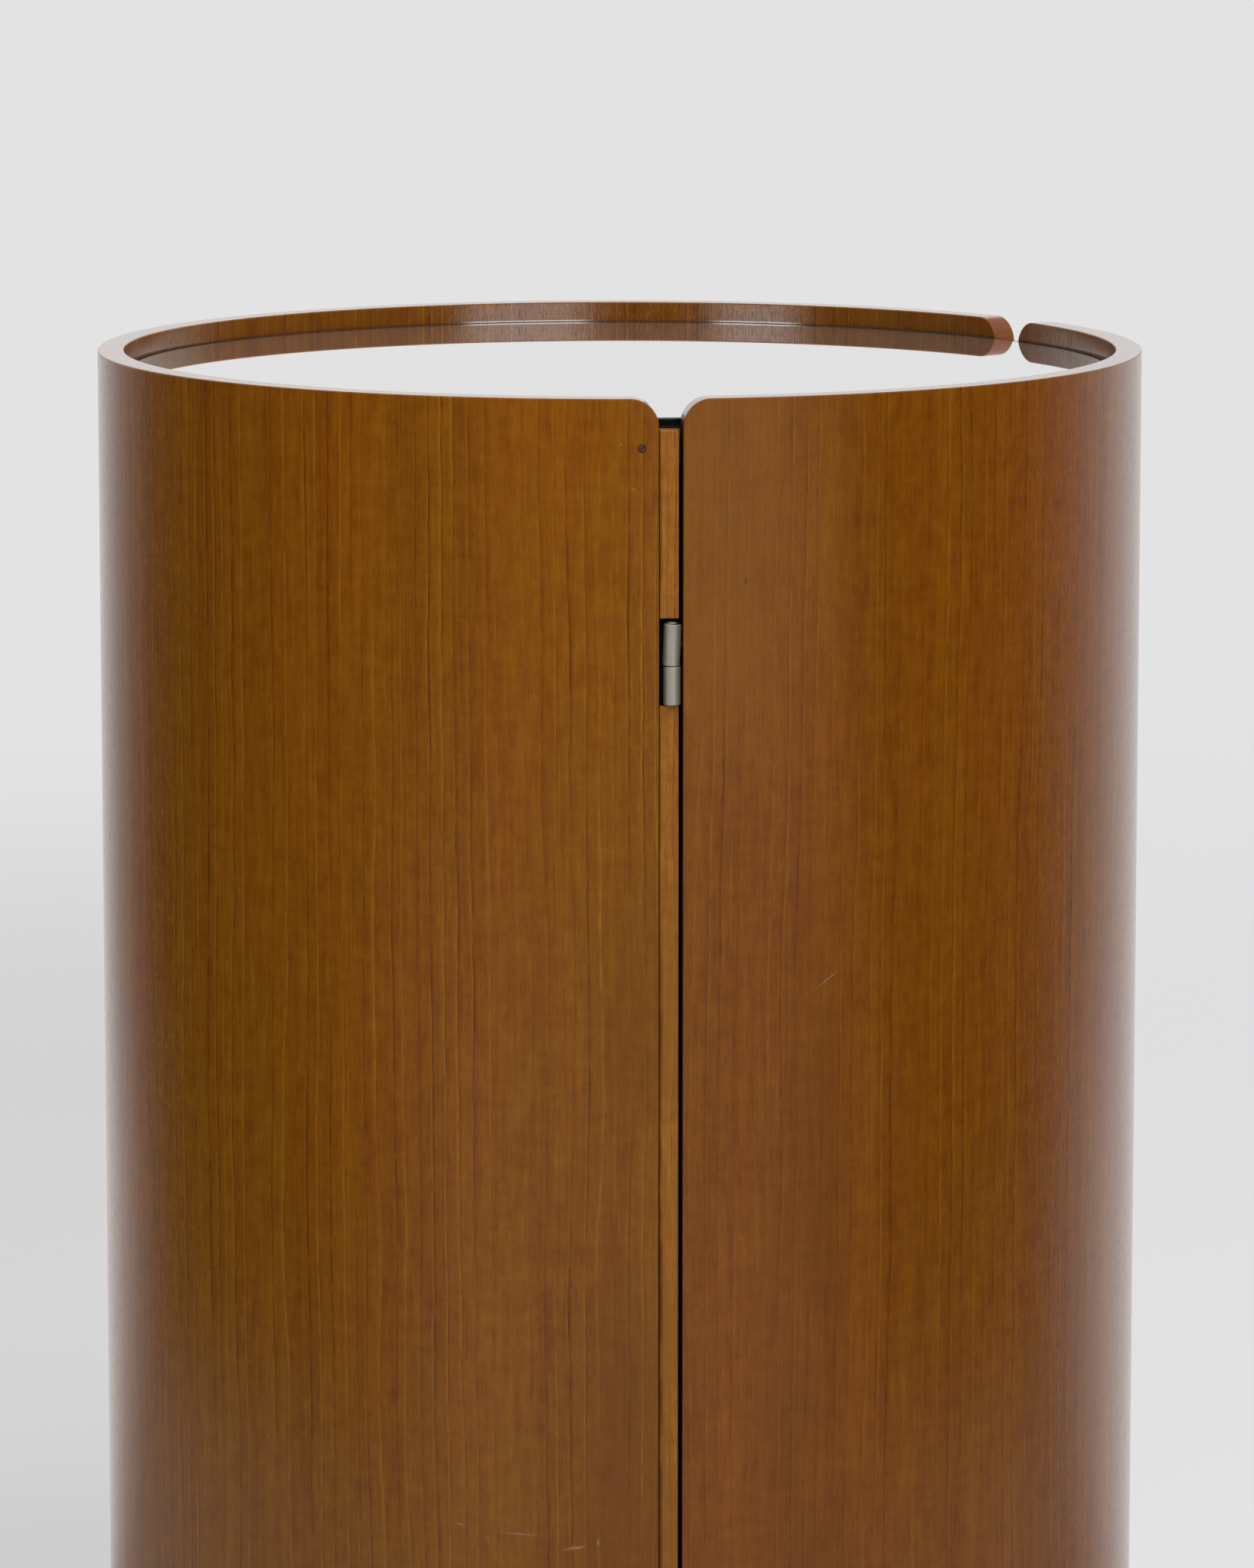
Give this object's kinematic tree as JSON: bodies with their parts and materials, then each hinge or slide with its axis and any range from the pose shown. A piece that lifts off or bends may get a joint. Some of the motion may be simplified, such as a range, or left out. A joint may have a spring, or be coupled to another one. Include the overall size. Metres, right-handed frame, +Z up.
{
  "type": "bar cabinet",
  "caption": "Round bar cabinet of bent brown plywood with a curved hinged door, a rimmed mirror top, inner shelves and bottle trays on the door.",
  "frame": {"origin": "centre of the round body, on the floor under the glides", "axes": "+Z up; -Y is the front, where the hinged seam is; +X is the right-hand side, which the closed door covers"},
  "size_m": [0.5999, 0.5998, 0.85],
  "materials": {
    "body_veneer": "golden brown stained veneer, satin lacquer, straight vertical grain",
    "door_veneer": "reddish brown stained veneer, satin lacquer, straight vertical grain",
    "strip_wood": "lighter solid wood, satin",
    "inner_wood": "veneered board, matt",
    "plinth_black": "stained black, matt",
    "mirror": "silvered glass, dark ground edge",
    "hinge_grey": "matt nickel",
    "brass": "dull",
    "steel": "bright zinc",
    "rail_chrome": "polished",
    "screw_brown": "stained over, dark brown",
    "brown_plastic": "brown",
    "glide_plastic": "dark grey"
  },
  "bodies": {
    "carcass": {"bottom_panel": "inner_wood", "bottom_screw_1": "screw_brown", "bottom_screw_2": "screw_brown", "bottom_screw_3": "screw_brown", "bottom_screw_4": "screw_brown", "catch_screw": "steel", "fixed_shell": "body_veneer", "front_batten": "inner_wood", "glide_1": "glide_plastic", "glide_2": "glide_plastic", "glide_3": "glide_plastic", "glide_4": "glide_plastic", "hinge_strip": "strip_wood", "lower_hinge_body_knuckle": "hinge_grey", "lower_hinge_pin": "brass", "lower_shelf": "inner_wood", "lower_shelf_peg_1": "steel", "lower_shelf_peg_2": "steel", "lower_shelf_peg_3": "steel", "lower_shelf_peg_4": "steel", "magnet_catch": "brown_plastic", "mirror_top": "mirror", "plinth_ring": "plinth_black", "plinth_screw_1": "steel", "plinth_screw_2": "steel", "plinth_screw_3": "steel", "plinth_screw_4": "steel", "rear_batten": "inner_wood", "top_panel": "inner_wood", "top_screw_1": "screw_brown", "top_screw_2": "screw_brown", "top_screw_3": "screw_brown", "top_screw_4": "screw_brown", "upper_hinge_body_knuckle": "hinge_grey", "upper_hinge_pin": "brass", "upper_shelf": "inner_wood", "upper_shelf_peg_1": "steel", "upper_shelf_peg_2": "steel", "upper_shelf_peg_3": "steel", "upper_shelf_peg_4": "steel"},
    "door": {"door_shell": "door_veneer", "lower_tray": "inner_wood", "upper_tray": "inner_wood", "lower_rail": "rail_chrome", "upper_rail": "rail_chrome", "strike_plate": "steel", "plate_screw": "steel", "upper_hinge_door_knuckle": "hinge_grey", "lower_hinge_door_knuckle": "hinge_grey"}
  },
  "joints": [
    {"name": "door_hinge", "type": "hinge", "parent": "carcass", "child": "door", "pos_m": [0.02815, -0.29466, 0.436], "axis": [0, 0, -1], "range_deg": [0, 110]}
  ]
}
